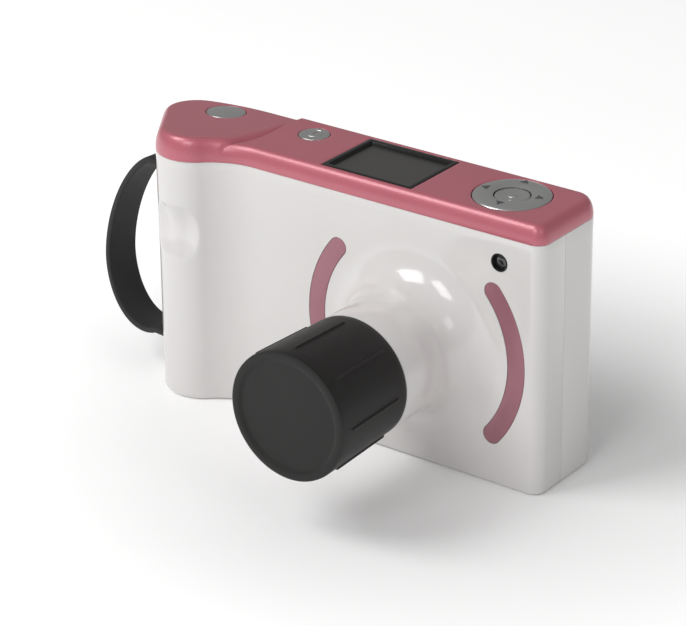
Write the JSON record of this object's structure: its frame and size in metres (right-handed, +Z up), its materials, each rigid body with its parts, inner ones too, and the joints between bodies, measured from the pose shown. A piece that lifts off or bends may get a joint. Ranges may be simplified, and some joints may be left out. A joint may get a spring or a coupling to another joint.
{
  "type": "handheld intraoral x-ray unit",
  "caption": "Camera-shaped handheld dental x-ray unit with a capped beam cone, side hand strap, and a rose top panel with display, keys and rocking ring.",
  "frame": {"origin": "middle of the object's box in plan, strap and cap included, on the base plane", "axes": "+Z up, -Y along the beam towards the patient, -X towards the grip and hand strap"},
  "size_m": [0.2888, 0.1606, 0.1507],
  "materials": {
    "white_shell": "smooth gloss, moulded",
    "pink_cover": "metallic rose lacquer, satin gloss",
    "mauve_trim": "satin metallic mauve",
    "black_gloss": "gloss black",
    "smoked_lens": "smoked, polished",
    "display_glass": "clear, polished",
    "lcd": "dark switched-off panel",
    "silver_keys": "satin silver lacquer",
    "black_rubber": "matte, fine grain",
    "strap_rubber": "matte, soft",
    "black_plastic": "fine texture",
    "circuit_board": "solder mask",
    "steel": "zinc plated",
    "ivory_plastic": "satin",
    "lead": "dull grey",
    "aluminium": "as machined",
    "tube_glass": "clear",
    "copper": "bare copper",
    "tungsten": "ground",
    "brass": "turned",
    "cell_wrap": "shrink film"
  },
  "bodies": {
    "housing": {"front_housing": "white_shell", "rear_cover": "white_shell", "top_cover": "pink_cover", "left_inlay": "mauve_trim", "right_inlay": "mauve_trim", "display_bezel": "black_gloss", "sensor_bezel": "black_gloss", "sensor_lens": "smoked_lens", "display_window": "display_glass", "lcd_panel": "lcd", "seam_gasket": "black_rubber", "tank_standoffs": "black_rubber", "exposure_switch": "black_plastic", "power_switch": "black_plastic", "nav_switches": "black_plastic", "nav_bracket": "black_plastic", "buzzer": "black_plastic", "charge_jack": "black_plastic", "battery_tray": "black_plastic", "battery_cap": "black_plastic", "board_parts": "black_plastic", "grip_board": "circuit_board", "key_board": "circuit_board", "main_board": "circuit_board", "multiplier_board": "circuit_board", "board_screws": "steel", "cone_screws": "steel", "strap_pins": "steel", "strap_anchors": "steel", "tank_screws": "steel", "housing_screws": "steel", "cathode": "steel", "transformer_core": "steel", "cone_tube": "ivory_plastic", "cone_window": "ivory_plastic", "beam_window": "ivory_plastic", "tube_cradles": "ivory_plastic", "cone_liner": "lead", "lead_shield": "lead", "collimator": "lead", "tank_body": "aluminium", "tank_lid": "aluminium", "beam_filter": "aluminium", "tube_glass": "tube_glass", "anode": "copper", "transformer_winding": "copper", "target": "tungsten", "board_posts": "brass", "battery_cells": "cell_wrap"},
    "exposure_key": {"exposure_button": "silver_keys"},
    "power_key": {"power_button": "silver_keys"},
    "nav_cradle": {"nav_gimbal": "steel"},
    "nav_rocker": {"nav_ring": "silver_keys"},
    "select_key": {"select_button": "silver_keys"},
    "cap": {"cone_cap": "black_rubber"},
    "strap": {"hand_strap": "strap_rubber"}
  },
  "joints": [
    {"name": "exposure_press", "type": "slide", "parent": "housing", "child": "exposure_key", "axis": [0, -0.0758, -0.9971], "range_m": [0, 0.0008], "stiffness_N_per_m": 1500, "springref_m": -0.0002},
    {"name": "power_press", "type": "slide", "parent": "housing", "child": "power_key", "axis": [0, 0, -1], "range_m": [0, 0.0006], "stiffness_N_per_m": 1500, "springref_m": -0.00015},
    {"name": "select_press", "type": "slide", "parent": "housing", "child": "select_key", "axis": [0, 0, -1], "range_m": [0, 0.0006], "stiffness_N_per_m": 1500, "springref_m": -0.00015},
    {"name": "nav_rock_x", "type": "hinge", "parent": "housing", "child": "nav_cradle", "pos_m": [0.10789, 0.05385, 0.1415], "axis": [1, 0, 0], "range_deg": [-1.5, 1.5], "stiffness_Nm_per_rad": 1.2},
    {"name": "nav_rock_y", "type": "hinge", "parent": "nav_cradle", "child": "nav_rocker", "pos_m": [0.10789, 0.05385, 0.1415], "axis": [0, 1, 0], "range_deg": [-1.5, 1.5], "stiffness_Nm_per_rad": 1.2},
    {"name": "cap_pull", "type": "slide", "parent": "housing", "child": "cap", "axis": [0, -1, 0], "range_m": [0, 0.06]},
    {"name": "strap_swing", "type": "hinge", "parent": "housing", "child": "strap", "pos_m": [-0.09691, 0.03425, 0.075], "axis": [0, 0, 1], "range_deg": [-4, 4]}
  ]
}
